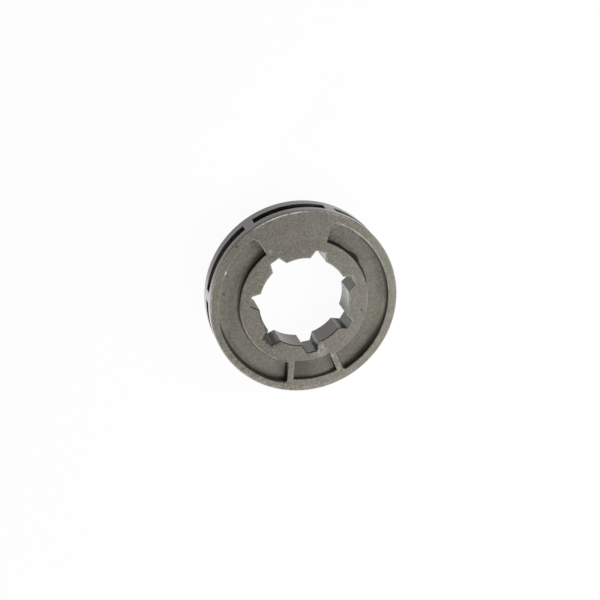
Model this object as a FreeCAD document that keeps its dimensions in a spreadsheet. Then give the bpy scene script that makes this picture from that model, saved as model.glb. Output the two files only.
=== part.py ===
import FreeCAD, Part
import os
from enum import IntEnum
from math import atan2, cos, radians, sin, sqrt

import Sketcher
from FreeCAD import Vector

# A chainsaw rim sprocket: one cast steel ring that slides on a splined clutch drum and carries the chain.
# Frame: the axis is Z, the back face lies on z = 0, and the small panel of the front face points to +Y.

# Driving sizes, in millimetres, and in degrees for the leans and the draft
SIZES = {
    "rim_diameter": 36.0,
    "ring_width": 7.0,
    "rim_edge_radius": 0.35,
    # splined bore
    "land_diameter": 17.3,
    "groove_count": 7,
    "groove_root_diameter": 20.4,
    "groove_mouth": 3.1,
    "groove_floor": 1.85,
    # chain windows in the rim
    "window_count": 7,
    "window_width": 2.3,
    "window_from_back": 2.6,
    "bridge_width": 2.05,
    "window_floor_diameter": 24.6,
    "window_corner_radius": 1.6,
    # recesses of the front face, on either side of a solid web at -Y
    "recess_inner_diameter": 24.6,
    "recess_outer_diameter": 32.7,
    "recess_depth": 1.3,
    "recess_draft": 12.0,
    "web_hub_width": 11.5,
    "web_lean": 21.8,
    "web_corner_radius": 1.25,
    "rib_corner_radius": 0.5,
    # two thin ribs at +Y, with the panel between them
    "rib_hub_spread": 8.25,
    "rib_lean": 13.6,
    "rib_width": 1.1,
    "panel_inner_diameter": 23.5,
    "panel_outer_diameter": 31.3,
    "panel_depth": 0.9,
    # hub set back from the rim on the back face
    "back_recess_diameter": 32.2,
    "back_recess_depth": 1.05,
    # how far a cut starts outside the metal
    "cut_overrun": 1.0,
}

doc = FreeCAD.newDocument("RimSprocket")

sheet = doc.addObject("Spreadsheet::Sheet", "Sizes")
for row, (alias, number) in enumerate(SIZES.items(), start=1):
    sheet.set(f"A{row}", alias)
    sheet.set(f"B{row}", str(number))
    sheet.setAlias(f"B{row}", alias)
doc.recompute()

body = doc.addObject("PartDesign::Body", "Ring")
body.Label = "rim_sprocket"
origin = {feature.Role: feature for feature in body.Origin.OriginFeatures}

AXIS_Z = Vector(0, 0, 1)
CENTRE = Vector(0, 0, 0)


class Point(IntEnum):
    """How a sketch names the points of an edge."""

    START = 1
    END = 2
    MIDDLE = 3


# How a sketch names its origin and its upright axis
ORIGIN_POINT = (-1, Point.START)
UPRIGHT = -2

# Two points or heights closer than this are the same
SAME = 1e-6


def size(alias):
    """The number in the sheet's cell of that name."""
    return float(sheet.get(alias))


def new_sketch(name, level):
    """A sketch that lies parallel to the back face, at a height read from the sheet."""
    sketch = body.newObject("Sketcher::SketchObject", name)
    sketch.AttachmentSupport = [(origin["XY_Plane"], "")]
    sketch.MapMode = "FlatFace"
    sketch.setExpression("AttachmentOffset.Base.z", level)
    return sketch


def line(sketch, start, end, construction=False):
    return sketch.addGeometry(Part.LineSegment(start, end), construction)


def arc(sketch, centre, start, end):
    """The arc that runs counter-clockwise from start to end."""
    circle = Part.Circle(centre, AXIS_Z, (start - centre).Length)
    return sketch.addGeometry(Part.ArcOfCircle(circle, circle.parameter(start), circle.parameter(end)))


def tie(sketch, kind, *members):
    """A constraint without a number of its own."""
    sketch.addConstraint(Sketcher.Constraint(kind, *members))


def measure(sketch, name, expression, kind, *members):
    """A constraint whose number follows an expression of the sheet."""
    index = sketch.addConstraint(Sketcher.Constraint(kind, *members))
    sketch.renameConstraint(index, name)
    sketch.setExpression(f"Constraints.{name}", expression)


def centred_circle(sketch, alias, construction=False):
    """A circle about the axis with a diameter from the sheet."""
    edge = sketch.addGeometry(Part.Circle(CENTRE, AXIS_Z, size(alias) / 2), construction)
    tie(sketch, "Coincident", edge, Point.MIDDLE, *ORIGIN_POINT)
    measure(sketch, alias, f"Sizes.{alias}", "Diameter", edge, size(alias))
    return edge


def centred_arc(sketch, name, expression, start, end):
    """An arc about the axis with a radius from the sheet."""
    edge = arc(sketch, CENTRE, start, end)
    tie(sketch, "Coincident", edge, Point.MIDDLE, *ORIGIN_POINT)
    measure(sketch, name, expression, "Radius", edge, start.Length)
    return edge


def leaning_line(sketch, name, expression, start, end, construction=False):
    """A line whose direction, counted from +X, comes from the sheet."""
    edge = line(sketch, start, end, construction)
    measure(sketch, name, expression, "Angle", edge, atan2(end.y - start.y, end.x - start.x))
    return edge


def join(sketch, first, first_end, second, second_end):
    tie(sketch, "Coincident", first, first_end, second, second_end)


def blend(sketch, first, first_end, second, second_end):
    tie(sketch, "Tangent", first, first_end, second, second_end)


def along_to_circle(start, direction, radius):
    """The point where the line through start, followed outwards, meets a circle about the axis."""
    forward = start.dot(direction)
    return start + direction * (sqrt(forward ** 2 - start.Length ** 2 + radius ** 2) - forward)


def draw_ring():
    sketch = new_sketch("ring_outline", "0")
    centred_circle(sketch, "rim_diameter")
    centred_circle(sketch, "land_diameter")
    return sketch


def draw_groove():
    """One spline groove at +Y: a tapered slot with its mouth on the land circle."""
    land = size("land_diameter") / 2
    root = size("groove_root_diameter") / 2
    half_mouth = size("groove_mouth") / 2
    half_floor = size("groove_floor") / 2
    mouth_level = sqrt(land ** 2 - half_mouth ** 2)
    sketch = new_sketch("groove_outline", "0")
    land_circle = centred_circle(sketch, "land_diameter", construction=True)
    corners = [
        Vector(-half_floor, root),
        Vector(-half_mouth, mouth_level),
        Vector(-half_mouth, land / 2),
        Vector(half_mouth, land / 2),
        Vector(half_mouth, mouth_level),
        Vector(half_floor, root),
    ]
    sides = [line(sketch, start, end) for start, end in zip(corners, corners[1:] + corners[:1])]
    for side, following in zip(sides, sides[1:] + sides[:1]):
        join(sketch, side, Point.END, following, Point.START)
    left_flank, left_mouth, inner_side, right_mouth, right_flank, floor = sides
    tie(sketch, "Symmetric", floor, Point.START, floor, Point.END, UPRIGHT)
    tie(sketch, "Symmetric", inner_side, Point.START, inner_side, Point.END, UPRIGHT)
    tie(sketch, "Vertical", left_mouth)
    tie(sketch, "Vertical", right_mouth)
    tie(sketch, "PointOnObject", left_mouth, Point.START, land_circle)
    tie(sketch, "PointOnObject", right_mouth, Point.END, land_circle)
    measure(sketch, "floor_width", "Sizes.groove_floor", "DistanceX",
            floor, Point.END, floor, Point.START, 2 * half_floor)
    measure(sketch, "mouth_width", "Sizes.groove_mouth", "DistanceX",
            inner_side, Point.START, inner_side, Point.END, 2 * half_mouth)
    measure(sketch, "floor_level", "Sizes.groove_root_diameter / 2", "DistanceY",
            *ORIGIN_POINT, floor, Point.START, root)
    measure(sketch, "inner_level", "Sizes.land_diameter / 4", "DistanceY",
            *ORIGIN_POINT, inner_side, Point.START, land / 2)
    return sketch


def draw_window():
    """One chain window at -Y: it opens at the rim, and its floor has rounded corners."""
    half_pitch = radians(180 / size("window_count"))
    half_bridge = size("bridge_width") / 2
    floor_radius = size("window_floor_diameter") / 2
    corner_radius = size("window_corner_radius")
    mouth_radius = size("rim_diameter") / 2 + size("cut_overrun")
    corner_along = sqrt((floor_radius + corner_radius) ** 2 - (half_bridge + corner_radius) ** 2)
    mouth_along = sqrt(mouth_radius ** 2 - half_bridge ** 2)
    sketch = new_sketch("window_outline", "Sizes.window_from_back")
    ends = {}
    for side in (-1, 1):
        bridge = Vector(side * sin(half_pitch), -cos(half_pitch))
        inwards = Vector(-side * cos(half_pitch), -sin(half_pitch))
        corner_centre = bridge * corner_along + inwards * (half_bridge + corner_radius)
        ends[side] = {
            "bridge": bridge,
            "centre": corner_centre,
            "flank_foot": bridge * corner_along + inwards * half_bridge,
            "flank_tip": bridge * mouth_along + inwards * half_bridge,
            "floor_end": corner_centre * (floor_radius / (floor_radius + corner_radius)),
        }
    left, right = ends[-1], ends[1]
    floor = centred_arc(sketch, "floor", "Sizes.window_floor_diameter / 2",
                        left["floor_end"], right["floor_end"])
    mouth = centred_arc(sketch, "mouth", "Sizes.rim_diameter / 2 + Sizes.cut_overrun",
                        left["flank_tip"], right["flank_tip"])
    left_corner = arc(sketch, left["centre"], left["floor_end"], left["flank_foot"])
    right_corner = arc(sketch, right["centre"], right["flank_foot"], right["floor_end"])
    left_flank = line(sketch, left["flank_foot"], left["flank_tip"])
    right_flank = line(sketch, right["flank_foot"], right["flank_tip"])
    blend(sketch, floor, Point.START, left_corner, Point.START)
    blend(sketch, left_corner, Point.END, left_flank, Point.START)
    join(sketch, left_flank, Point.END, mouth, Point.START)
    blend(sketch, floor, Point.END, right_corner, Point.END)
    blend(sketch, right_corner, Point.START, right_flank, Point.START)
    join(sketch, right_flank, Point.END, mouth, Point.END)
    tie(sketch, "Equal", left_corner, right_corner)
    measure(sketch, "corner", "Sizes.window_corner_radius", "Radius", right_corner, corner_radius)
    for name, sign, flank, end in (("left", "-", left_flank, left), ("right", "+", right_flank, right)):
        bridge_line = leaning_line(sketch, f"{name}_pitch", f"-90 deg {sign} 180 deg / Sizes.window_count",
                                   CENTRE, end["bridge"] * mouth_radius, construction=True)
        tie(sketch, "Coincident", bridge_line, Point.START, *ORIGIN_POINT)
        tie(sketch, "PointOnObject", bridge_line, Point.END, mouth)
        tie(sketch, "Parallel", bridge_line, flank)
        measure(sketch, f"{name}_bridge", "Sizes.bridge_width / 2", "Distance",
                flank, Point.END, bridge_line, half_bridge)
    return sketch


def rib_middle():
    """Where the right rib's middle line leaves the hub, and the way it leans."""
    lean = radians(size("rib_lean"))
    hub = size("recess_inner_diameter") / 2
    half_spread = size("rib_hub_spread") / 2
    return Vector(half_spread, sqrt(hub ** 2 - half_spread ** 2)), Vector(sin(lean), cos(lean))


def draw_rib_middle(sketch, hub_edge, rim_edge, rim_radius):
    """The right rib's middle line, drawn as an aid from the hub circle to an edge further out."""
    foot, way = rib_middle()
    tip = along_to_circle(foot, way, rim_radius)
    middle = leaning_line(sketch, "rib_lean", "90 deg - Sizes.rib_lean * 1 deg", foot, tip, construction=True)
    tie(sketch, "PointOnObject", middle, Point.START, hub_edge)
    tie(sketch, "PointOnObject", middle, Point.END, rim_edge)
    measure(sketch, "half_spread", "Sizes.rib_hub_spread / 2", "DistanceX",
            *ORIGIN_POINT, middle, Point.START, foot.x)
    return middle


def follow_rib(sketch, edge, middle):
    """Keep an edge parallel to a rib's middle line, half the rib's width away."""
    tie(sketch, "Parallel", middle, edge)
    measure(sketch, "half_rib", "Sizes.rib_width / 2", "Distance",
            edge, Point.START, middle, size("rib_width") / 2)


def draw_side_recess():
    """The recess right of the ribs, from the rib's outer side round to the web at -Y."""
    hub = size("recess_inner_diameter") / 2
    rim = size("recess_outer_diameter") / 2
    web_corner_radius = size("web_corner_radius")
    rib_corner_radius = size("rib_corner_radius")
    half_rib = size("rib_width") / 2
    rib_foot, rib_way = rib_middle()
    web_lean = radians(size("web_lean"))
    half_web = size("web_hub_width") / 2
    web_way = Vector(sin(web_lean), -cos(web_lean))
    web_out = Vector(cos(web_lean), sin(web_lean))
    rib_out = Vector(rib_way.y, -rib_way.x)
    web_foot = Vector(half_web, -sqrt(hub ** 2 - half_web ** 2))
    edge_foot = along_to_circle(rib_foot + rib_out * half_rib, rib_way, hub)
    web_centre = along_to_circle(web_foot + web_out * web_corner_radius, web_way, rim - web_corner_radius)
    rib_centre = along_to_circle(edge_foot + rib_out * rib_corner_radius, rib_way, rim - rib_corner_radius)
    web_tip = web_centre - web_out * web_corner_radius
    rib_tip = rib_centre - rib_out * rib_corner_radius
    rim_start = web_centre * (rim / web_centre.Length)
    rim_end = rib_centre * (rim / rib_centre.Length)

    sketch = new_sketch("side_recess_outline", "Sizes.ring_width")
    hub_arc = centred_arc(sketch, "hub", "Sizes.recess_inner_diameter / 2", web_foot, edge_foot)
    rim_arc = centred_arc(sketch, "rim", "Sizes.recess_outer_diameter / 2", rim_start, rim_end)
    web_edge = leaning_line(sketch, "web_lean", "-90 deg + Sizes.web_lean * 1 deg", web_foot, web_tip)
    rib_edge = line(sketch, edge_foot, rib_tip)
    web_corner = arc(sketch, web_centre, web_tip, rim_start)
    rib_corner = arc(sketch, rib_centre, rim_end, rib_tip)
    join(sketch, hub_arc, Point.START, web_edge, Point.START)
    blend(sketch, web_edge, Point.END, web_corner, Point.START)
    blend(sketch, web_corner, Point.END, rim_arc, Point.START)
    blend(sketch, rim_arc, Point.END, rib_corner, Point.START)
    blend(sketch, rib_corner, Point.END, rib_edge, Point.END)
    join(sketch, rib_edge, Point.START, hub_arc, Point.END)
    measure(sketch, "web_corner", "Sizes.web_corner_radius", "Radius", web_corner, web_corner_radius)
    measure(sketch, "rib_corner", "Sizes.rib_corner_radius", "Radius", rib_corner, rib_corner_radius)
    measure(sketch, "half_web", "Sizes.web_hub_width / 2", "DistanceX",
            *ORIGIN_POINT, web_edge, Point.START, half_web)
    follow_rib(sketch, rib_edge, draw_rib_middle(sketch, hub_arc, rim_arc, rim))
    return sketch


def draw_panel():
    """The shallow panel between the ribs, symmetric about +Y."""
    inner = size("panel_inner_diameter") / 2
    outer = size("panel_outer_diameter") / 2
    rib_foot, rib_way = rib_middle()
    rib_side = rib_foot + Vector(-rib_way.y, rib_way.x) * (size("rib_width") / 2)
    inner_right = along_to_circle(rib_side, rib_way, inner)
    outer_right = along_to_circle(inner_right, rib_way, outer)
    inner_left = Vector(-inner_right.x, inner_right.y)
    outer_left = Vector(-outer_right.x, outer_right.y)

    sketch = new_sketch("panel_outline", "Sizes.ring_width")
    inner_arc = centred_arc(sketch, "inner", "Sizes.panel_inner_diameter / 2", inner_right, inner_left)
    outer_arc = centred_arc(sketch, "outer", "Sizes.panel_outer_diameter / 2", outer_right, outer_left)
    right_edge = line(sketch, inner_right, outer_right)
    left_edge = line(sketch, inner_left, outer_left)
    join(sketch, right_edge, Point.START, inner_arc, Point.START)
    join(sketch, right_edge, Point.END, outer_arc, Point.START)
    join(sketch, left_edge, Point.START, inner_arc, Point.END)
    join(sketch, left_edge, Point.END, outer_arc, Point.END)
    tie(sketch, "Symmetric", inner_arc, Point.START, inner_arc, Point.END, UPRIGHT)
    tie(sketch, "Symmetric", outer_arc, Point.START, outer_arc, Point.END, UPRIGHT)

    hub_circle = centred_circle(sketch, "recess_inner_diameter", construction=True)
    follow_rib(sketch, right_edge, draw_rib_middle(sketch, hub_circle, outer_arc, outer))
    return sketch


def draw_back_recess():
    sketch = new_sketch("back_recess_outline", "0")
    centred_circle(sketch, "back_recess_diameter")
    return sketch


def pocket(name, sketch, depth, upwards, draft="0"):
    """Cut a sketch into the body, towards the front face or towards the back face."""
    doc.recompute()
    before = body.Shape.Volume
    cut = body.newObject("PartDesign::Pocket", name)
    cut.Profile = sketch
    cut.setExpression("Length", depth)
    cut.setExpression("TaperAngle", draft)
    cut.Reversed = upwards
    doc.recompute()
    assert body.Shape.Volume < before, f"{name} cuts nothing"
    return cut


def around(name, feature, count):
    """Repeat a cut evenly round the axis."""
    pattern = body.newObject("PartDesign::PolarPattern", name)
    pattern.Originals = [feature]
    pattern.Axis = (origin["Z_Axis"], [""])
    pattern.Angle = 360
    pattern.setExpression("Occurrences", count)
    body.Tip = pattern
    doc.recompute()


def mirrored(name, feature):
    """Repeat a cut on the other side of the YZ plane."""
    mirror = body.newObject("PartDesign::Mirrored", name)
    mirror.Originals = [feature]
    mirror.MirrorPlane = (origin["YZ_Plane"], [""])
    body.Tip = mirror
    doc.recompute()


def reach(edge):
    """The distance of an edge's middle from the axis."""
    middle = edge.valueAt((edge.FirstParameter + edge.LastParameter) / 2)
    return sqrt(middle.x ** 2 + middle.y ** 2)


def circles_at(height, radius):
    """The names of the body's edges that run round the axis at a height and a radius."""
    return [
        f"Edge{number}"
        for number, edge in enumerate(body.Tip.Shape.Edges, start=1)
        if edge.BoundBox.ZLength < SAME
        and abs(edge.BoundBox.ZMin - height) < SAME
        and abs(reach(edge) - radius) < SAME
    ]


def round_edges(name, edges, radius):
    base = body.Tip
    rounding = body.newObject("PartDesign::Fillet", name)
    rounding.Base = (base, edges)
    rounding.setExpression("Radius", radius)
    doc.recompute()


ring = body.newObject("PartDesign::Pad", "ring")
ring.Profile = draw_ring()
ring.setExpression("Length", "Sizes.ring_width")
doc.recompute()
rim_radius = size("rim_diameter") / 2
rim_corners = circles_at(0, rim_radius) + circles_at(size("ring_width"), rim_radius)
round_edges("rim_edges", rim_corners, "Sizes.rim_edge_radius")

around("grooves", pocket("groove", draw_groove(), "Sizes.ring_width", upwards=True), "Sizes.groove_count")
around("windows", pocket("window", draw_window(), "Sizes.window_width", upwards=True), "Sizes.window_count")
pocket("back_recess", draw_back_recess(), "Sizes.back_recess_depth", upwards=True)

# The walls of the front recesses lean inwards, so that each narrows towards its floor
inwards = "Sizes.recess_draft * -1 deg"
side_recess = pocket("side_recess", draw_side_recess(), "Sizes.recess_depth", upwards=False, draft=inwards)
mirrored("side_recesses", side_recess)
pocket("panel", draw_panel(), "Sizes.panel_depth", upwards=False, draft=inwards)

failed = [item.Name for item in doc.Objects if "Invalid" in item.State or "Error" in item.State]
if failed or body.Shape.isNull() or not body.Shape.isValid() or len(body.Shape.Solids) != 1:
    raise RuntimeError(f"the ring is not one sound solid: {failed}")

os.makedirs("parts", exist_ok=True)
body.Shape.exportStep(f"parts/{body.Label}.step")
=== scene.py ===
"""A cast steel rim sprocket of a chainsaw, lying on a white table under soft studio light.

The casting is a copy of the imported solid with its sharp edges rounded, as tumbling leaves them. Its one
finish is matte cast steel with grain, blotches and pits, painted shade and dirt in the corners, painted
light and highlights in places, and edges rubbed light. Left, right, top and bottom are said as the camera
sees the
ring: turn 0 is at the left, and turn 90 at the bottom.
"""

import math

import bpy
from mathutils import Matrix, Vector, noise


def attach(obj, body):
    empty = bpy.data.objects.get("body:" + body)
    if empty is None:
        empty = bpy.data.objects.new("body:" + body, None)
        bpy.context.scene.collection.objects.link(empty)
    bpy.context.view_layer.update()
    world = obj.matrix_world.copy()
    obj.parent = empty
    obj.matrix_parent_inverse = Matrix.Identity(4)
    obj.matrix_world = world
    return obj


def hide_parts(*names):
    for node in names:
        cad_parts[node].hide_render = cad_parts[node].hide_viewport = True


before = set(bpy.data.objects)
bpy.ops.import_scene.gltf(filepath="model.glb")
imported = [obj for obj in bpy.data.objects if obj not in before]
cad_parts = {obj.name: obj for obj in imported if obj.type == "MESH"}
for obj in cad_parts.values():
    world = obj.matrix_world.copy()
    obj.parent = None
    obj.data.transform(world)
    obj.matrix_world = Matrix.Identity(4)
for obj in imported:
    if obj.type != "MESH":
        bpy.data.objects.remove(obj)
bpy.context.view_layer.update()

MM = 0.001

# The casting's own sizes, in millimetres, and the step from groove to groove in degrees
FACE_HEIGHT = 7.0
RIM_RADIUS = 18.0
HUB_RADIUS = 12.3
PANEL_INNER_RADIUS = 11.75
RECESS_RADIUS = 16.35
RECESS_FLOOR = 5.7
LAND_RADIUS = 8.65
GROOVE_ROOT_RADIUS = 10.2
GROOVE_HALF_MOUTH = 1.55
GROOVE_TAPER = 0.37
GROOVE_STEP = 360 / 7
WINDOW_BACK = 2.6
WINDOW_FRONT = 4.9

# How far each edge is broken and how far it wanders, in millimetres
EDGE_BREAK = 0.13
FACE_EDGE_BREAK = 0.14
WINDOW_EDGE_BREAK = 0.07
EDGE_STEPS = 3
ROUNDED_RIM = 0.6
EDGE_WANDER = 0.03
WANDER_LENGTH = 0.9
WANDER_SEED = 7

# The angle above which an edge is sharp, below which it is no edge, and up to which it is shaded round
SHARP_EDGE = math.radians(28)
FLAT_EDGE = math.radians(0.3)
SMOOTH_EDGE = math.radians(40)

# How near points lie that are one point, and how near a surface a point lies that is on it, in millimetres
SAME_POINT = 0.0005
SLIVER = 0.006
SAME_PLANE = 0.01
NEAR_SURFACE = 0.1
RIM_CORNER_REACH = 0.3

# Cloudy noise: the size in millimetres, the detail, the roughness and the seed
CLOUDS = {
    "blotch": (1.6, 4, 0.6, 3.0),
    "warmth": (1.9, 3, 0.5, 11.0),
    "grain": (0.5, 4, 0.7, 5.0),
    "fine_grain": (0.16, 2, 0.6, 8.0),
    "speckle": (0.34, 2, 0.5, 17.0),
    "pits": (0.5, 1, 0.5, 21.0),
    "rubbing": (0.8, 3, 0.5, 13.0),
    "chips": (0.45, 3, 0.5, 29.0),
}

# Below, a run is where a tone begins and where it is full. A band of radii or heights, in millimetres, and
# a sector of turns, in degrees, are a low end, a high end and the softness of both ends. A zone is a band
# and a sector. A patch is a run along the radius and a sector. A place is its middle and its reach.

# The parts of the casting
FACE_RUN = (FACE_HEIGHT - 0.25, FACE_HEIGHT - 0.1)
RECESS_HEIGHTS = (RECESS_FLOOR - 0.3, FACE_HEIGHT - 0.15, 0.08)
RECESS_BAND = (PANEL_INNER_RADIUS - 0.1, RECESS_RADIUS + 0.2, 0.1)
RECESS_OUTER_RUN = (13.6, 15.0)
PANEL_SECTOR = (74, 106, 1)
WINDOW_HEIGHTS = (WINDOW_BACK - 0.1, WINDOW_FRONT + 0.1, 0.05)
WINDOW_BAND = (GROOVE_ROOT_RADIUS + 0.5, RIM_RADIUS - 0.12, 0.06)
TURNED_RIM_RUN = (RIM_RADIUS - 0.09, RIM_RADIUS - 0.02)
BORE_RUN = (GROOVE_ROOT_RADIUS + 0.3, GROOVE_ROOT_RADIUS + 0.1)
BORE_HEIGHT_RUN = (6.9, 6.7)
ROUGH_GROOVE = (10.5, 10.2), (-20, -1, 0.5)
# Where the rib meets the hub, painted light as on a rounded corner
RIB_CORNER = (5.15, 11.6), 0.7

# Painted shade and dirt in the recesses: on the walls that the light comes over, darkest at their top, and
# in the corners
LIGHT_WAY = (-0.22, 0.975)
LEE_RUN = (-0.4, 0.35)
WALL_TILT_RUN = (0.85, 0.35)
WALL_TOP_RUN = (5.9, 6.5)
WALL_SHADE_AND_DIRT = 0.85
LIGHTER_WALL_RUNS = (-2, -9), (-15.5, -11.5)
SKY_REACH = 1.2
SKY_SAMPLES = 12
CORNER_RUN = (0.75, 0.3)
CORNER_RAGGED = 0.3

# The floor beside these walls has only a thin dark line of painted shade, and is painted lighter by their
# foot
THIN_LINE_BY_HUB = (14.4, 13.6), (-14, 58, 8)
THIN_LINE_BY_RIM = RECESS_OUTER_RUN, (-165, -100, 8)
THIN_LINE_RIGHT_RUN = (-9.5, -13.5)
THIN_LINE_RIGHT_RADII = (14.4, 15.2)

# Painted shade along the edges of the recesses
SHADED_RIM_EDGE = (RECESS_RADIUS - 0.05, RECESS_RADIUS + 0.23, 0.06), (3, 68, 8)
SHADED_RIM_EDGE_RUN = (FACE_HEIGHT - 0.4, FACE_HEIGHT - 0.2)
SHADED_HUB_EDGE = (HUB_RADIUS - 0.10, HUB_RADIUS + 0.30, 0.06), (-177, -119, 5)
SHADED_HUB_FOOT = (HUB_RADIUS - 0.08, HUB_RADIUS + 0.40, 0.06), (-174, -157, 5)
SHADED_HUB_EDGE_RUN = (5.3, 5.5)
DARK_HUB_EDGE = (HUB_RADIUS - 0.4, HUB_RADIUS + 0.3, 0.1), (-172, -118, 3)

# Painted shadow of burrs along the bore, dirt about one groove, and painted shade in the corners of the
# grooves
BURR_SHADOW_SECTORS = (-9, 27, 1.5), (49, 98, 1.5), (104, 131, 1.5)
BURR_SHADOW_RUN = (0.28, 0.08)
BURR_SHADOW_RAGGED = 0.5
DIRTY_GROOVE = (7.2, 6.5), 2.0
DIRTY_GROOVE_SECTOR = (27, 51, 2)
DIRTY_GROOVE_RUN = (0.6, 0.1)
DIRTY_GROOVE_RAGGED = 0.9
GROOVE_CORNER_TURNS = (4.2, 6.2)
GROOVE_CORNER_BAND = (9.2, 10.5, 0.3)
GROOVE_CORNER_RUN = (6.9, 6.6)
LOWER_HALF_RUN = (3, 5)

# A row of nicks in the hub's edge, and their step in degrees
NICKS = (HUB_RADIUS - 0.4, HUB_RADIUS + 0.2, 0.08), (57, 66.5, 0.3)
NICK_STEP = 1.9
NICK_RUN = (0.1, 0.7)
NICK_SPECKLE_RUN = (0.30, 0.48)

# A flaw in the casting at the foot of the hub: its turn and half its length in degrees, then its radius
# and half its width in millimetres
FLAW_TURN, FLAW_HALF_LENGTH = -149, 10
FLAW_RADIUS, FLAW_HALF_WIDTH = 12.45, 0.75
FLAW_RUN = (1.0, 0.6)

# How much of the steel each kind of painted shade and dirt covers
SHADE_AND_DIRT_SHARE = {"window": 0.5, "groove_corner": 0.6, "edge": 0.96, "flaw": 0.95, "dark_hub_edge": 0.85,
              "dirty_groove": 0.8, "nicks": 0.9, "burr_shadows": 0.8}
SHADE_AND_DIRT = (0.022, 0.021, 0.015, 1)

# The colours of the steel
GREEN_SKIN = (0.165, 0.161, 0.117, 1)
WARM_SKIN = (0.188, 0.163, 0.136, 1)
PALE_SKIN = (0.222, 0.209, 0.170, 1)
# Painted shade: the recesses darker
RECESS_SKIN = (0.131, 0.127, 0.096, 1)
# Painted light: the recess at the left lighter
PALE_RECESS = (0.215, 0.207, 0.168, 1)
# Painted light: the floor by the foot of some walls
PALE_FOOT = (0.30, 0.29, 0.24, 1)
# Painted shade: the panel, darkest at its left end, and the recess at the lower right
DARK_PANEL = (0.070, 0.068, 0.052, 1)
DARK_RECESS = (0.080, 0.078, 0.058, 1)
LIGHT_CORNER = (0.48, 0.465, 0.42, 1)
TURNED_STEEL = (0.136, 0.122, 0.107, 1)
# Painted highlight on turned surfaces that face one way, and low on the rim's side at the upper right
HIGHLIGHT_STEEL = (0.62, 0.61, 0.59, 1)
# Rubbed wear, and painted highlights along some edges
RUBBED_AND_HIGHLIT_STEEL = (0.42, 0.40, 0.365, 1)
BRIGHT_STEEL = (0.85, 0.83, 0.78, 1)
PIT = (0.03, 0.028, 0.024, 1)

# Where those colours lie
WARM_RUN = (0.4, 0.6)
BLOTCH_RUN = (0.42, 0.72)
PALE_RECESS_RUN = (6, 13)
PALE_FOOT_RUNS = (14.3, 12.9), (14.8, 16.0)
DARK_PANEL_RUN = (100, 78)
DARK_RECESS_SECTOR = (108, 150, 8)
RIM_CORNER_RUN = (17.63, 17.8)
RIM_CORNER_HEIGHTS = (6.6, 6.7)
LIGHT_CORNER_SECTOR = (-125, -2, 8)
# Painted highlights: where turned surfaces face the left, and low on the rim's side at the upper right
HIGHLIGHT_FACING = math.radians(5)
HIGHLIGHT_RUN = (0.84, 0.97)
FAR_RIM = (17.6, 17.8), (-140, -116, 6)
FAR_RIM_RUN = (2.7, 2.4)
PIT_RUN = (0.70, 0.76)
SINGLE_PITS = ((9.44, -13.29), 0.4), ((11.1, -13.6), 0.45), ((14.8, -4.55), 0.35), ((-10.55, 3.85), 0.4)

# Changes of tone, each with its patch: on the flat face, painted shade on the recess floor, and painted
# light at the foot of a wall
EVEN_TONE = 1.02
# Painted shade: the face darker towards the top
DARK_TOP, DARK_TOP_RUN = -0.15, (-7, -15)
DARK_HUB, DARK_HUB_RUN = -0.10, (12.6, 12.0)
FACE_TONES = (
    (-0.08, (12.4, 12.1), (26, 56, 6)),
    (0.24, (16.8, 17.2), (78, 112, 6)),
)
# Painted shade on the recess floor under the hub at the upper right and under the rim at the lower left
FLOOR_TONES = (
    (-0.42, (14.9, 12.6), (-158, -102, 10)),
    (-0.35, (14.6, 16.1), (12, 66, 8)),
)
# Painted light on the floor by the foot of the walls and of the panel's wall
FOOT_TONES = (
    (1.15, (13.6, 12.55), (-68, -10, 8)),
    (0.12, (14.5, 13.5), (-5, 26, 8)),
    (1.3, (15.3, 15.95), (110, 168, 8)),
)
PANEL_FOOT_TONES = (
    (0.85, (14.7, 15.4), (86, 106, 4)),
)
FOOT_RUN = (6.35, 5.95)
PANEL_FOOT_RUN = (6.7, 6.35)
RIM_SLOPE, RIM_SLOPE_MIDDLE = 0.28, 17.0
RIM_SLOPE_PATCH = (16.3, 16.5), (25, 72, 8)
# Painted light in the corner where the rib meets the hub
RIB_CORNER_TONE = 0.9
GRAIN_TONE, FINE_GRAIN_TONE, SPECKLE_TONE = 2.0, 0.9, 2.6

# Where the face is scuffed, so that the speckle shows
SCUFFED_RIM = (16.3, 16.7), (25, 108, 10)
SCUFFED_RIM_END_RUN = (68, 78)
SCUFFED_HUB = (12.3, 12.0), (-78, -12, 8)
SCUFFED_GROOVE = DIRTY_GROOVE[0], DIRTY_GROOVE[1] * 2.4

# Edges and places rubbed light, and painted highlights along some edges
WORN_RADII = (17.5, 17.2)
RUBBING_RUN = (0.42, 0.6)
WEB_END = (-6.3, -12.3), 2.6
# Painted highlights: the hub's edge at the lower left, the recess edge and the floor by it at the upper
# right, and the bore's edge at the right and at the top
LIGHT_HUB_EDGE = (HUB_RADIUS - 0.02, HUB_RADIUS + 0.2, 0.05), (-8, 60, 6)
LIGHT_HUB_EDGE_RUN = (6.3, 6.5)
LIGHT_RIM_EDGE = (16.12, 16.52, 0.08), (-172, -121, 4)
LIGHT_RIM_EDGE_RUN = (6.2, 6.5)
LIGHTEST_RIM_EDGE = (15.9, 16.52, 0.08), (-143, -121, 4)
LIGHT_BORE_RUN = (0.4, 0.1)
LIGHT_BORE_TURNS = (133, 140), (-10, -20)
LIGHT_EDGE_BLOTCH_RUN = (0.4, 0.6)
RIM_LINE = (17.62, 17.84, 0.05), (-99, -67, 4)
RIM_LINE_BLOTCH_RUN = (0.4, 0.55)
GLINT = (RECESS_RADIUS - 0.02, RECESS_RADIUS + 0.23, 0.04), (-33.8, -31.6, 0.5)
BRIGHT_LINE_RUN = (6.7, 6.85)
RUBBED_PLACES = (((-1.8, 10.7), 2.3), ((-4.45, 14.8), 1.0), ((-3.7, 12.0), 0.9), ((5.1, -11.3), 0.8),
                 ((9.75, -7.5), 0.4))
CRUMB_RUN = (0.3, 0.9)
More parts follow.
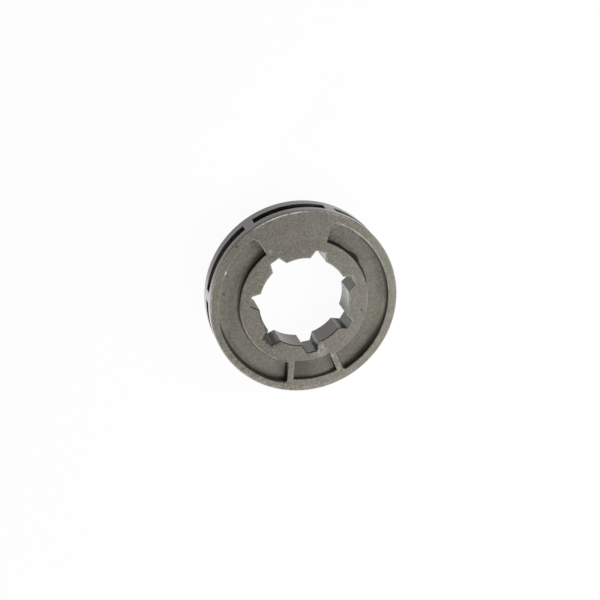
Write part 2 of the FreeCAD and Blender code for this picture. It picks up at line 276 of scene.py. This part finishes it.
CRUMB_EDGE_RUN = (0.05, 0.4)

# The steel's surface: its bumps in millimetres, and its gloss
BUMP_HEIGHT = 0.1
BUMP_STRENGTH = 0.5
ROUGHNESS, GRAIN_ROUGHNESS, TURNED_ROUGHNESS = 0.42, 0.2, -0.32
METAL_SHARE = 0.15
GLOSS = 0.5
STEEL_IOR = 1.5
SHADE_AND_DIRT_ROUGHNESS = 0.9
SHADE_AND_DIRT_GLOSS = 0.1

# The table, in metres, and how white it looks to the camera and to the ring
TABLE_SIDE = 4.0
TABLE_GREY = (0.35, 0.35, 0.35, 1)
TABLE_WHITE = (0.95, 0.95, 0.95, 1)
PURE_WHITE = (1, 1, 1, 1)
TABLE_GLOW = 0.96

# The soft boxes: place and side in metres, power in watts and tint
SOFT_BOXES = {
    "top_panel": ((-0.08, 0.20, 0.28), 0.16, 0.50, (1, 1, 1)),
    "left_panel": ((0.29, 0.34, 0.06), 0.12, 1.9, (1, 1, 1)),
    "right_panel": ((-0.10, 0.01, 0.075), 0.06, 0.11, (0.97, 1.0, 1.03)),
}
ROOM_LIGHT = 0.14

# The camera: degrees about the ring, above the table and about its own axis, then millimetres
VIEW_TURN = -66.147
VIEW_HEIGHT = 66.624
VIEW_ROLL = -146.007
VIEW_DISTANCE = 282.918
VIEW_AIM = (0.828, -0.676, FACE_HEIGHT)
LENS = 90.51
SENSOR_WIDTH = 36.0
NEAREST_SEEN = 10.0


def select_only(piece):
    """Leaves one object selected and active."""
    bpy.ops.object.select_all(action="DESELECT")
    piece.select_set(True)
    bpy.context.view_layer.objects.active = piece


def finish_modifier(piece, kind, name, **settings):
    """Adds a modifier with its settings and applies it."""
    modifier = piece.modifiers.new(name, kind)
    for setting, value in settings.items():
        setattr(modifier, setting, value)
    select_only(piece)
    bpy.ops.object.modifier_apply(modifier=name)


def edge_ends(ring, edge):
    """The two ends of an edge, in millimetres."""
    return [ring.data.vertices[index].co / MM for index in edge.vertices]


def on_rounded_rim(ends):
    """The rim's two corners are round in the solid already."""
    inner = min(end.xy.length for end in ends)
    lowest, highest = (pick(end.z for end in ends) for pick in (min, max))
    return inner > RIM_RADIUS - ROUNDED_RIM and (lowest > FACE_HEIGHT - ROUNDED_RIM or highest < ROUNDED_RIM)


def edge_break(ends):
    """How far a sharp edge is broken, by where it lies on the casting."""
    if on_rounded_rim(ends):
        return 0.0
    if min(end.xy.length for end in ends) > RIM_RADIUS - NEAR_SURFACE:
        return WINDOW_EDGE_BREAK
    if min(end.z for end in ends) > FACE_HEIGHT - SAME_PLANE:
        return FACE_EDGE_BREAK
    return EDGE_BREAK


def select_sharp(ring):
    """Selects the casting's sharp edges and leaves edit mode."""
    select_only(ring)
    bpy.ops.object.mode_set(mode="EDIT")
    bpy.ops.mesh.select_all(action="DESELECT")
    bpy.ops.mesh.edges_select_sharp(sharpness=SHARP_EDGE)
    bpy.ops.object.mode_set(mode="OBJECT")


def unsettle_edges(ring):
    """Lets the edges of the front face wander sideways a little, as a worn mould leaves them."""
    noise.seed_set(WANDER_SEED)
    select_sharp(ring)
    moved = {index for edge in ring.data.edges if edge.select and not on_rounded_rim(edge_ends(ring, edge))
             for index in edge.vertices}
    for index in moved:
        vertex = ring.data.vertices[index]
        above_floor = vertex.co.z / MM > RECESS_FLOOR - NEAR_SURFACE
        if above_floor and vertex.co.xy.length / MM < RIM_RADIUS - ROUNDED_RIM:
            wander = noise.noise_vector(vertex.co / (WANDER_LENGTH * MM)) * EDGE_WANDER * MM
            vertex.co.xy += wander.xy


def close_slivers(ring):
    """Merges points that lie so close that the faces between them are only slivers."""
    select_only(ring)
    bpy.ops.object.mode_set(mode="EDIT")
    bpy.ops.mesh.select_all(action="SELECT")
    bpy.ops.mesh.remove_doubles(threshold=SLIVER * MM)
    bpy.ops.object.mode_set(mode="OBJECT")


def round_edges(ring):
    """Rounds every sharp edge by its own width, and returns which vertices lie within the roundings."""
    select_sharp(ring)
    weights = ring.data.attributes.new("bevel_weight_edge", "FLOAT", "EDGE")
    for edge in ring.data.edges:
        if edge.select:
            weights.data[edge.index].value = edge_break(edge_ends(ring, edge)) / FACE_EDGE_BREAK
    ring.data.materials.append(None)
    ring.data.materials.append(None)
    finish_modifier(ring, "BEVEL", "broken_edges", limit_method="WEIGHT", width=FACE_EDGE_BREAK * MM,
                    segments=EDGE_STEPS, use_clamp_overlap=False, miter_outer="MITER_ARC", material=1,
                    face_strength_mode="FSTR_ALL")
    close_slivers(ring)
    rounded = [True] * len(ring.data.vertices)
    for face in ring.data.polygons:
        if face.material_index == 0:
            for index in face.vertices:
                rounded[index] = False
        face.material_index = 0
    ring.data.materials.clear()
    return rounded


def edge_bends(ring):
    """For each vertex, below 0 where its neighbours fall away from it, as they do on an outer edge."""
    bends = [0.0] * len(ring.data.vertices)
    for edge in ring.data.edges:
        first, second = (ring.data.vertices[index] for index in edge.vertices)
        way = (second.co - first.co).normalized()
        bends[first.index] += way.dot(first.normal)
        bends[second.index] -= way.dot(second.normal)
    return bends


def mark_edges(ring, rounded):
    """Marks the middle of each rounded outer edge as worn, and of each inner one as filled, for painted
    shade and dirt in the corners.
    """
    bends = edge_bends(ring)
    worn = ring.data.attributes.new("worn", "FLOAT", "POINT")
    filled = ring.data.attributes.new("filled", "FLOAT", "POINT")
    for vertex in ring.data.vertices:
        radius, height = vertex.co.xy.length / MM, vertex.co.z / MM
        at_end = min(height, FACE_HEIGHT - height) < RIM_CORNER_REACH
        on_corner = at_end and radius > RIM_RADIUS - RIM_CORNER_REACH
        outer = rounded[vertex.index] and bends[vertex.index] < 0
        inner = rounded[vertex.index] and bends[vertex.index] > 0
        worn.data[vertex.index].value = 1.0 if outer or on_corner else 0.0
        filled.data[vertex.index].value = 1.0 if inner else 0.0


def cast_ring():
    """The whole casting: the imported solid's copy, merged, with every edge broken."""
    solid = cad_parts["rim_sprocket"]
    ring = bpy.data.objects.new("ring_casting", solid.data.copy())
    ring.data.name = "ring_casting"
    ring.data.materials.clear()
    bpy.context.scene.collection.objects.link(ring)
    select_only(ring)
    bpy.ops.object.mode_set(mode="EDIT")
    bpy.ops.mesh.select_mode(type="EDGE")
    bpy.ops.mesh.select_all(action="SELECT")
    bpy.ops.mesh.customdata_custom_splitnormals_clear()
    bpy.ops.mesh.remove_doubles(threshold=SAME_POINT * MM)
    bpy.ops.mesh.dissolve_limited(angle_limit=FLAT_EDGE)
    bpy.ops.object.mode_set(mode="OBJECT")
    unsettle_edges(ring)
    mark_edges(ring, round_edges(ring))
    select_only(ring)
    bpy.ops.object.shade_smooth_by_angle(angle=SMOOTH_EDGE)
    finish_modifier(ring, "WEIGHTED_NORMAL", "flat_faces", keep_sharp=True, use_face_influence=True)
    return ring


class Signal:
    """A shader socket that Python's operators turn into Math nodes."""

    def __init__(self, finish, socket):
        self.finish = finish
        self.socket = socket

    def math(self, operation, *others):
        values = dict(enumerate((self, *others)))
        return self.finish.add("ShaderNodeMath", {"operation": operation}, values)

    def __add__(self, other):
        return self.math("ADD", other)

    __radd__ = __add__

    def __mul__(self, other):
        return self.math("MULTIPLY", other)

    __rmul__ = __mul__

    def __sub__(self, other):
        return self.math("SUBTRACT", other)

    def __rsub__(self, other):
        return self.finish.add("ShaderNodeMath", {"operation": "SUBTRACT"}, {0: other, 1: self})

    def __truediv__(self, other):
        return self.math("DIVIDE", other)

    def __pow__(self, other):
        return self.math("POWER", other)

    def __abs__(self):
        return self.math("ABSOLUTE")

    def root(self):
        return self.math("SQRT")

    def at_least(self, other):
        return self.math("MAXIMUM", other)

    def at_most(self, other):
        return self.math("MINIMUM", other)

    def rising(self, low, high):
        """0 below low and 1 above high, with a smooth run between."""
        return self.finish.add("ShaderNodeMapRange", {"interpolation_type": "SMOOTHSTEP"},
                               {"Value": self, "From Min": low, "From Max": high})

    def run(self, start, full):
        """0 before the start and 1 from where it is full, upwards or downwards."""
        return self.rising(start, full) if start < full else 1 - self.rising(full, start)

    def between(self, low, high, soft):
        """1 between low and high, with soft ends."""
        return self.run(low - soft, low + soft) * self.run(high + soft, high - soft)

    def from_to(self, first, last):
        """The first value where the signal is 0, and the last where it is 1."""
        return first + (last - first) * self


class Finish:
    """A material whose nodes are added one at a time."""

    def __init__(self, name):
        self.material = bpy.data.materials.new(name)
        self.material.use_nodes = True
        self.tree = self.material.node_tree
        self.tree.nodes.clear()

    def add(self, kind, settings=None, inputs=None, output=0):
        """One node: its settings first, then the values or links of its sockets."""
        node = self.tree.nodes.new(kind)
        for setting, value in (settings or {}).items():
            setattr(node, setting, value)
        for name, value in (inputs or {}).items():
            if isinstance(value, Signal):
                self.tree.links.new(value.socket, node.inputs[name])
            else:
                node.inputs[name].default_value = value
        return Signal(self, node.outputs[output]) if node.outputs else None

    def split(self, vector):
        """The three parts of a vector."""
        return [self.add("ShaderNodeSeparateXYZ", {}, {0: vector}, output=axis) for axis in "XYZ"]

    def mix(self, colour, other, share, blend="MIX"):
        """One colour over another, by a share from 0 to 1."""
        return self.add("ShaderNodeMix", {"data_type": "RGBA", "blend_type": blend, "clamp_factor": True},
                        {0: share, 6: colour, 7: other}, output=2)

    def noise(self, place, size, detail, roughness, seed):
        """Cloudy noise about 0.5, with blotches of about that size in millimetres."""
        return self.add("ShaderNodeTexNoise", {"noise_dimensions": "4D"},
                        {"Vector": place, "W": seed, "Scale": 1 / (size * MM), "Detail": detail,
                         "Roughness": roughness})

    def close(self, shader):
        self.add("ShaderNodeOutputMaterial", {}, {"Surface": shader})
        return self.material


class Casting:
    """Where a point lies on the ring, in millimetres and in degrees, and which of its parts it is on."""

    def __init__(self, finish):
        place = finish.add("ShaderNodeTexCoord", output="Object")
        outward = finish.add("ShaderNodeTexCoord", output="Normal")
        self.x, self.y, self.z = (part / MM for part in finish.split(place))
        self.facing_x, self.facing_y, self.lift = finish.split(outward)
        self.radius = (self.x * self.x + self.y * self.y).root()
        self.turn = self.y.math("ARCTAN2", self.x) * math.degrees(1)
        self.worn, self.filled = (finish.add("ShaderNodeAttribute", {"attribute_name": name}, output="Fac")
                                  for name in ("worn", "filled"))
        self.open_sky = finish.add("ShaderNodeAmbientOcclusion",
                                   {"only_local": True, "samples": SKY_SAMPLES},
                                   {"Distance": SKY_REACH * MM}, output="AO")
        self.cloud = {name: finish.noise(place, *kind) for name, kind in CLOUDS.items()}
        self.find_parts()
        self.find_bore()

    def spot(self, middle, reach):
        """1 about one place of the face, fading out at its reach."""
        away = ((self.x - middle[0]) ** 2 + (self.y - middle[1]) ** 2).root()
        return away.run(reach, reach * 0.35)

    def zone(self, band, sector):
        """1 in a band of radii, within a sector."""
        return self.radius.between(*band) * self.turn.between(*sector)

    def patch(self, run, sector):
        """A run along the radius, within a sector."""
        return self.radius.run(*run) * self.turn.between(*sector)

    def tones(self, rows):
        """The changes of tone of several patches together."""
        return sum(self.patch(run, sector) * change for change, run, sector in rows)

    def find_parts(self):
        """The face, the recesses, the windows, the turned surfaces and a few edges, each as a share."""
        self.on_face = self.z.run(*FACE_RUN)
        self.in_window = self.z.between(*WINDOW_HEIGHTS) * self.radius.between(*WINDOW_BAND)
        self.in_recess = self.z.between(*RECESS_HEIGHTS) * self.radius.between(*RECESS_BAND)
        self.in_panel = self.in_recess * self.turn.between(*PANEL_SECTOR)
        self.outer_side = self.radius.run(*RECESS_OUTER_RUN)
        self.rib_corner = self.spot(*RIB_CORNER) * self.in_recess
        self.light_hub = self.zone(*LIGHT_HUB_EDGE) * self.z.run(*LIGHT_HUB_EDGE_RUN)
        right_line = self.x.run(*THIN_LINE_RIGHT_RUN) * self.radius.run(*THIN_LINE_RIGHT_RADII)
        lines = self.patch(*THIN_LINE_BY_HUB).at_least(right_line).at_least(self.patch(*THIN_LINE_BY_RIM))
        self.thin_line = lines * self.in_recess
        bore = self.radius.run(*BORE_RUN) * self.z.run(*BORE_HEIGHT_RUN)
        turned = self.radius.run(*TURNED_RIM_RUN).at_least(bore)
        self.turned = turned * self.patch(*ROUGH_GROOVE).from_to(1, 0.3)

    def find_bore(self):
        """The turn from the middle of the nearest groove, and the way from the bore's outline."""
        half_step = GROOVE_STEP / 2
        self.in_groove = (self.turn - 90 + half_step).math("FLOORED_MODULO", GROOVE_STEP) - half_step
        aside = abs(self.radius * (self.in_groove * math.radians(1)).math("SINE"))
        along = self.radius * (self.in_groove * math.radians(1)).math("COSINE")
        from_flank = aside - GROOVE_HALF_MOUTH + (along - LAND_RADIUS) * GROOVE_TAPER
        from_groove = from_flank.at_least(along - GROOVE_ROOT_RADIUS)
        self.from_bore = (self.radius - LAND_RADIUS).at_most(from_groove)

    def by_bore(self, run, ragged):
        """A stripe of the face along the bore, with a ragged edge."""
        return (self.from_bore + (self.cloud["speckle"] - 0.5) * ragged).run(*run) * self.on_face


def recess_shade_and_dirt(ring):
    """Painted shade and dirt on the walls of the recesses and in their corners, on the side that the light
    comes over.
    """
    towards_light = (ring.y * LIGHT_WAY[1] + ring.x * LIGHT_WAY[0]) / ring.radius
    lee = (towards_light * ring.outer_side.from_to(-1, 1)).run(*LEE_RUN)
    wall = ring.lift.run(*WALL_TILT_RUN) * ring.in_recess * lee.from_to(0.1, 1)
    wall = wall * ring.z.run(*WALL_TOP_RUN).from_to(0.4, 1) * ring.light_hub.from_to(1, 0.2)
    from_right, from_left = (ring.x.run(*run) for run in LIGHTER_WALL_RUNS)
    lighter_wall = ring.outer_side * from_right * from_left
    wall = wall * (WALL_SHADE_AND_DIRT - lighter_wall * 0.45 - ring.in_panel * 0.3)
    corner = (ring.open_sky + (ring.cloud["grain"] - 0.5) * CORNER_RAGGED).run(*CORNER_RUN)
    corner = corner * (1 - ring.in_recess * (1 - lee))
    corner = corner.at_least(ring.filled * ring.in_recess * lee * 0.8) * ring.thin_line.from_to(1, 0.2)
    return wall.at_least(corner * ring.in_recess.from_to(0.8, 0.15))


def shaded_edges(ring):
    """Painted shade: dark lines along the rim's inner edge at the lower left and along the hub at the upper
    right.
    """
    rim = ring.zone(*SHADED_RIM_EDGE) * ring.z.run(*SHADED_RIM_EDGE_RUN)
    hub = ring.zone(*SHADED_HUB_EDGE).at_least(ring.zone(*SHADED_HUB_FOOT)) * ring.z.run(*SHADED_HUB_EDGE_RUN)
    return rim.at_least(hub)


def groove_corners(ring):
    """Painted shade in the corners of the grooves at the bottom."""
    corner = abs(ring.in_groove).run(*GROOVE_CORNER_TURNS) * ring.radius.between(*GROOVE_CORNER_BAND)
    return corner * ring.z.run(*GROOVE_CORNER_RUN) * ring.y.run(*LOWER_HALF_RUN)


def dirty_groove(ring):
    """The groove at the lower left with dirt about its mouth."""
    mouth = ring.by_bore(DIRTY_GROOVE_RUN, DIRTY_GROOVE_RAGGED) * ring.turn.between(*DIRTY_GROOVE_SECTOR)
    return mouth.at_least(ring.spot(*DIRTY_GROOVE) * 0.25)


def nicks(ring):
    """A short row of nicks in the hub's edge."""
    waves = (ring.turn * (math.tau / NICK_STEP)).math("SINE").run(*NICK_RUN)
    return waves * ring.zone(*NICKS) * ring.cloud["speckle"].run(*NICK_SPECKLE_RUN)


def casting_flaw(ring):
    """A dark oval at the foot of the hub."""
    along = (ring.turn - FLAW_TURN) / FLAW_HALF_LENGTH
    across = (ring.radius - FLAW_RADIUS) / FLAW_HALF_WIDTH
    return (along ** 2 + across ** 2).root().run(*FLAW_RUN) * ring.in_recess


def shade_and_dirt_cover(ring):
    """How much of the steel is covered by painted shade, painted shadow and dirt, from 0 to 1."""
    # The windows are dark with painted shade
    cover = recess_shade_and_dirt(ring).at_least(ring.in_window * SHADE_AND_DIRT_SHARE["window"])
    cover = cover.at_least(groove_corners(ring) * SHADE_AND_DIRT_SHARE["groove_corner"])
    cover = cover.at_least(shaded_edges(ring) * SHADE_AND_DIRT_SHARE["edge"]) * ring.rib_corner.from_to(1, 0.1)
    # Painted shadow of burrs along the lower part of the bore's front edge
    burr_shadows = ring.by_bore(BURR_SHADOW_RUN, BURR_SHADOW_RAGGED) * sum(ring.turn.between(*sector) for sector in BURR_SHADOW_SECTORS)
    # The dark hub edge is painted shade on the hub's edge at the upper right
    marks = {"flaw": casting_flaw(ring), "dark_hub_edge": ring.worn * ring.zone(*DARK_HUB_EDGE),
             "dirty_groove": dirty_groove(ring), "nicks": nicks(ring), "burr_shadows": burr_shadows}
    for name, mark in marks.items():
        cover = cover.at_least(mark * SHADE_AND_DIRT_SHARE[name])
    return cover


def base_skin(steel, ring):
    """The colour of each part of the casting, before its tone, with painted shade in the recesses and
    painted light and highlights in places.
    """
    inner_foot, outer_foot = (ring.radius.run(*run) for run in PALE_FOOT_RUNS)
    dark_panel = ring.turn.run(*DARK_PANEL_RUN).from_to(0.2, 1)
    rim_corner = ring.radius.run(*RIM_CORNER_RUN) * (1 - ring.turned) * ring.z.run(*RIM_CORNER_HEIGHTS)
    light_corner = ring.turn.between(*LIGHT_CORNER_SECTOR).from_to(0.1, 1)
    facing = ring.facing_x * math.cos(HIGHLIGHT_FACING) + ring.facing_y * math.sin(HIGHLIGHT_FACING)
    far_rim = ring.patch(*FAR_RIM) * ring.z.run(*FAR_RIM_RUN)
    layers = (
        (WARM_SKIN, ring.cloud["warmth"].run(*WARM_RUN)),
        (PALE_SKIN, ring.cloud["blotch"].run(*BLOTCH_RUN) * 0.7),
        (RECESS_SKIN, ring.in_recess * 0.6),
        (PALE_RECESS, ring.in_recess * ring.x.run(*PALE_RECESS_RUN) * 0.5),
        (PALE_FOOT, ring.thin_line * inner_foot.at_least(outer_foot) * 0.5),
        (DARK_PANEL, ring.in_panel * dark_panel),
        (DARK_RECESS, ring.in_recess * ring.turn.between(*DARK_RECESS_SECTOR) * 0.42),
        (LIGHT_CORNER, rim_corner * light_corner),
        (TURNED_STEEL, ring.turned * 0.8),
        (HIGHLIGHT_STEEL, ring.turned * facing.run(*HIGHLIGHT_RUN) * 0.9),
        (HIGHLIGHT_STEEL, far_rim * 0.3),
    )
    skin = GREEN_SKIN
    for colour, share in layers:
        skin = steel.mix(skin, colour, share)
    return skin


def scuffed_places(ring):
    """Where the speckle shows: the rim at the bottom, the dirty groove, and the hub at the upper left."""
    rim = ring.patch(*SCUFFED_RIM) * ring.turn.run(*SCUFFED_RIM_END_RUN).from_to(1, 0.6) * ring.on_face
    hub = ring.patch(*SCUFFED_HUB) * ring.on_face * 0.45
    return rim.at_least(ring.spot(*SCUFFED_GROOVE) * 0.6).at_least(hub)


def skin_tone(ring):
    """How light or dark each place is, about 1, with painted shade and light in places, grain and speckle.
    """
    tone = EVEN_TONE + DARK_TOP * ring.y.run(*DARK_TOP_RUN) + DARK_HUB * ring.radius.run(*DARK_HUB_RUN)
    tone = tone + ring.tones(FACE_TONES) * ring.on_face + ring.tones(FLOOR_TONES) * ring.in_recess
    foot = ring.tones(FOOT_TONES) * ring.z.run(*FOOT_RUN)
    panel_foot = ring.tones(PANEL_FOOT_TONES) * ring.z.run(*PANEL_FOOT_RUN)
    tone = tone + (foot + panel_foot) * ring.in_recess + ring.rib_corner * RIB_CORNER_TONE
    rim_slope = (ring.radius - RIM_SLOPE_MIDDLE) * RIM_SLOPE * ring.patch(*RIM_SLOPE_PATCH)
    tone = tone + rim_slope * ring.on_face
    grain = (ring.cloud["grain"] - 0.5) * GRAIN_TONE + (ring.cloud["fine_grain"] - 0.5) * FINE_GRAIN_TONE
    speckle = (ring.cloud["speckle"] - 0.5) * scuffed_places(ring) * SPECKLE_TONE
    return tone + grain * ring.turned.from_to(1, 0.2) + speckle


def rubbed_and_highlit_edges(ring):
    """Outer edges rubbed light, more in some places than in others, and painted highlights along some edges
    of the recesses, the hub and the bore.
    """
    rubbed = ring.worn * ring.radius.run(*WORN_RADII) * ring.spot(*WEB_END).from_to(1, 0.2)
    rubbed = rubbed * ring.cloud["rubbing"].run(*RUBBING_RUN).from_to(0.3, 1)
    light = ring.zone(*LIGHT_RIM_EDGE) * ring.z.run(*LIGHT_RIM_EDGE_RUN)
    light = light.at_least(ring.zone(*LIGHTEST_RIM_EDGE) * 1.7).at_least(ring.light_hub)
    at_right, at_top = (ring.turn.run(*run) for run in LIGHT_BORE_TURNS)
    bore = ring.from_bore.run(*LIGHT_BORE_RUN) * ring.on_face * at_right.at_least(at_top)
    light = light.at_least(bore * 0.9)
    return rubbed.at_least(light * ring.cloud["blotch"].run(*LIGHT_EDGE_BLOTCH_RUN).from_to(0.6, 1.2))


def rubbed_crumbs(ring):
    """Ragged light crumbs on the face about the rubbed places."""
    places = sum(ring.spot(*place) for place in RUBBED_PLACES)
    crumbs = (places * 0.6 + (ring.cloud["chips"] - 0.5) * 2).run(*CRUMB_RUN)
    return crumbs * places.run(*CRUMB_EDGE_RUN) * ring.on_face


def bright_lines(ring):
    """A bright line on the rim's corner at the top, and one glint on the edge at the left."""
    line = ring.zone(*RIM_LINE) * ring.cloud["blotch"].run(*RIM_LINE_BLOTCH_RUN).from_to(0.3, 1)
    return line.at_least(ring.zone(*GLINT) * 0.8) * ring.z.run(*BRIGHT_LINE_RUN)


def cast_pits(ring):
    """Small pits all over, and a few larger ones."""
    pits = ring.cloud["pits"].run(*PIT_RUN)
    for place in SINGLE_PITS:
        pits = pits.at_least(ring.spot(*place))
    return pits


def cast_steel():
    """Matte cast steel: grain, blotches, pits, painted shade and dirt in the corners, painted light and
    highlights, worn edges.
    """
    steel = Finish("cast_steel")
    ring = Casting(steel)
    grain, fine_grain = ring.cloud["grain"], ring.cloud["fine_grain"]
    pits = cast_pits(ring)
    tone = skin_tone(ring)
    grey_tone = steel.add("ShaderNodeCombineColor", {}, {0: tone, 1: tone, 2: tone})
    skin = steel.mix(base_skin(steel, ring), grey_tone, 1.0, "MULTIPLY")
    skin = steel.mix(skin, RUBBED_AND_HIGHLIT_STEEL, (rubbed_and_highlit_edges(ring) * 0.5).at_least(rubbed_crumbs(ring) * 0.62))
    skin = steel.mix(skin, BRIGHT_STEEL, bright_lines(ring) * 0.9)
    skin = steel.mix(skin, PIT, pits * 0.6)
    height = (grain * 0.5 + fine_grain * 0.25) * ring.turned.from_to(1, 0.1) - pits * 0.8
    normal = steel.add("ShaderNodeBump", {}, {"Strength": BUMP_STRENGTH, "Distance": BUMP_HEIGHT * MM,
                                              "Height": height})
    roughness = ROUGHNESS + grain * GRAIN_ROUGHNESS + ring.turned * TURNED_ROUGHNESS
    clean = steel.add("ShaderNodeBsdfPrincipled", {},
                      {"Base Color": skin, "Roughness": roughness, "Metallic": METAL_SHARE,
                       "Normal": normal, "Specular IOR Level": GLOSS, "IOR": STEEL_IOR})
    # Painted shade and dirt share this dark finish
    dirt = steel.add("ShaderNodeBsdfPrincipled", {},
                     {"Base Color": SHADE_AND_DIRT, "Roughness": SHADE_AND_DIRT_ROUGHNESS, "Normal": normal,
                      "Specular IOR Level": SHADE_AND_DIRT_GLOSS})
    return steel.close(steel.add("ShaderNodeMixShader", {}, {0: shade_and_dirt_cover(ring), 1: clean, 2: dirt}))


def white_table():
    """A white floor that looks white to the camera and still takes the ring's shadow."""
    bpy.ops.mesh.primitive_plane_add(size=TABLE_SIDE, location=(0, 0, 0))
    table = bpy.context.active_object
    table.name = "white_table"
    cloth = Finish("white_table")
    seen, mirrored, through = (cloth.add("ShaderNodeLightPath", output=f"Is {ray} Ray")
                               for ray in ("Camera", "Glossy", "Transmission"))
    dim = cloth.add("ShaderNodeBsdfDiffuse", {}, {"Color": TABLE_GREY})
    bright = cloth.add("ShaderNodeBsdfDiffuse", {}, {"Color": TABLE_WHITE})
    glow = cloth.add("ShaderNodeEmission", {}, {"Color": PURE_WHITE, "Strength": 1.0})
    white = cloth.add("ShaderNodeMixShader", {}, {0: TABLE_GLOW, 1: bright, 2: glow})
    share = seen.at_least(mirrored).at_least(through)
    shader = cloth.add("ShaderNodeMixShader", {}, {0: share, 1: dim, 2: white})
    table.data.materials.append(cloth.close(shader))


def soft_box(name, place, side, power, tint):
    """A square soft box that points at the middle of the ring's face."""
    lamp = bpy.data.lights.new(name, "AREA")
    lamp.shape = "SQUARE"
    lamp.size = side
    lamp.energy = power
    lamp.color = tint
    holder = bpy.data.objects.new(name, lamp)
    holder.location = place
    way = Vector((0, 0, FACE_HEIGHT * MM)) - Vector(place)
    holder.rotation_euler = way.to_track_quat("-Z", "Y").to_euler()
    bpy.context.scene.collection.objects.link(holder)


def studio_light():
    """A dim white room with soft boxes."""
    world = bpy.data.worlds.new("studio")
    bpy.context.scene.world = world
    world.use_nodes = True
    room = world.node_tree.nodes["Background"]
    room.inputs["Color"].default_value = PURE_WHITE
    room.inputs["Strength"].default_value = ROOM_LIGHT
    for name, box in SOFT_BOXES.items():
        soft_box(name, *box)


def photo_camera():
    """The camera that looks down at the ring as the photograph does."""
    camera = bpy.data.cameras.new("photo_camera")
    camera.lens = LENS
    camera.sensor_width = SENSOR_WIDTH
    camera.clip_start = NEAREST_SEEN * MM
    turn, height = math.radians(VIEW_TURN), math.radians(VIEW_HEIGHT)
    away = Vector((math.cos(height) * math.cos(turn), math.cos(height) * math.sin(turn), math.sin(height)))
    holder = bpy.data.objects.new("photo_camera", camera)
    upright = away.to_track_quat("Z", "Y").to_matrix()
    rolled = upright @ Matrix.Rotation(math.radians(-VIEW_ROLL), 3, "Z")
    holder.rotation_euler = rolled.to_euler()
    holder.location = (Vector(VIEW_AIM) + away * VIEW_DISTANCE) * MM
    bpy.context.scene.collection.objects.link(holder)
    bpy.context.scene.camera = holder


bpy.ops.object.select_all(action="DESELECT")
ring_casting = cast_ring()
ring_casting.data.materials.append(cast_steel())
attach(ring_casting, "root")
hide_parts("rim_sprocket")
white_table()
studio_light()
photo_camera()
bpy.context.scene.view_settings.view_transform = "Standard"
